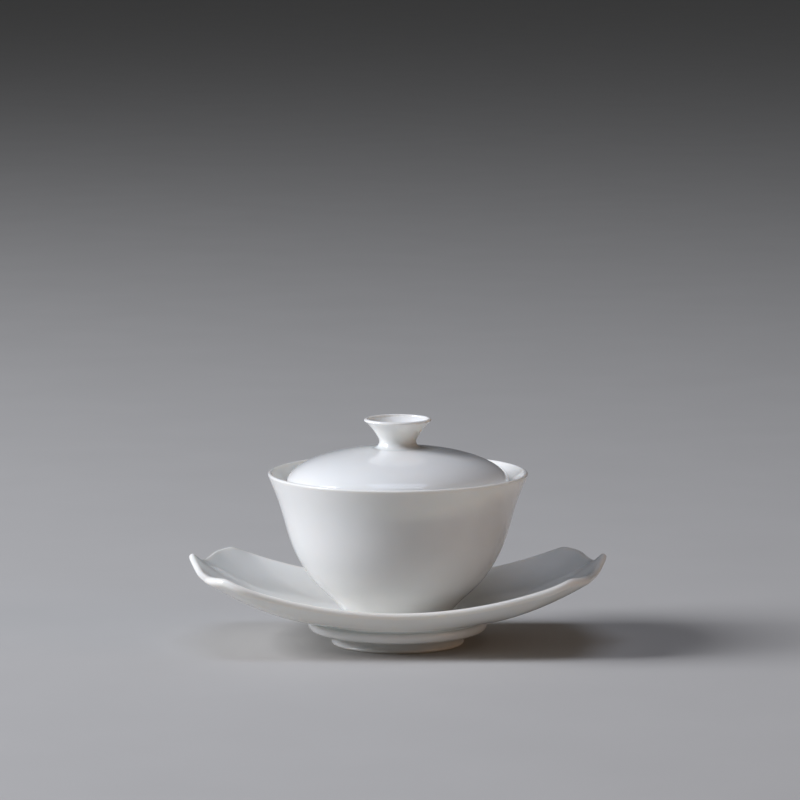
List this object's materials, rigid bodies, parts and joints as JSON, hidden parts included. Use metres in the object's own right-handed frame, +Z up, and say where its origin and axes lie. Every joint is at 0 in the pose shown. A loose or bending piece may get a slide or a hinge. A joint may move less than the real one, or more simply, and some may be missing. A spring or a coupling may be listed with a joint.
{
  "type": "gaiwan",
  "caption": "Lidded porcelain tea bowl with a domed, knobbed lid that sits inside a flared mouth, on a boat-shaped saucer with raised tips.",
  "frame": {"origin": "centre of the saucer's foot ring, on the table", "axes": "+X along the saucer towards one raised tip, +Y across it, +Z up along the axis of bowl and lid"},
  "size_m": [0.1528, 0.095, 0.083],
  "materials": {
    "saucer_glaze": "clear gloss glaze over white porcelain",
    "foot_glaze": "clear gloss glaze over white porcelain, bare ground land on the underside",
    "bowl_glaze": "clear gloss glaze over white porcelain",
    "lid_glaze": "clear gloss glaze over white porcelain"
  },
  "bodies": {
    "saucer": {"saucer_tray": "saucer_glaze", "saucer_foot_ring": "foot_glaze"},
    "bowl": {"bowl": "bowl_glaze"},
    "lid": {"lid": "lid_glaze", "lid_knob": "lid_glaze"}
  },
  "joints": [
    {"name": "bowl_lift", "type": "slide", "parent": "saucer", "child": "bowl", "axis": [0, 0, 1], "range_m": [0, 0.05]},
    {"name": "lid_lift", "type": "slide", "parent": "bowl", "child": "lid", "axis": [0, 0, 1], "range_m": [0, 0.05]}
  ]
}
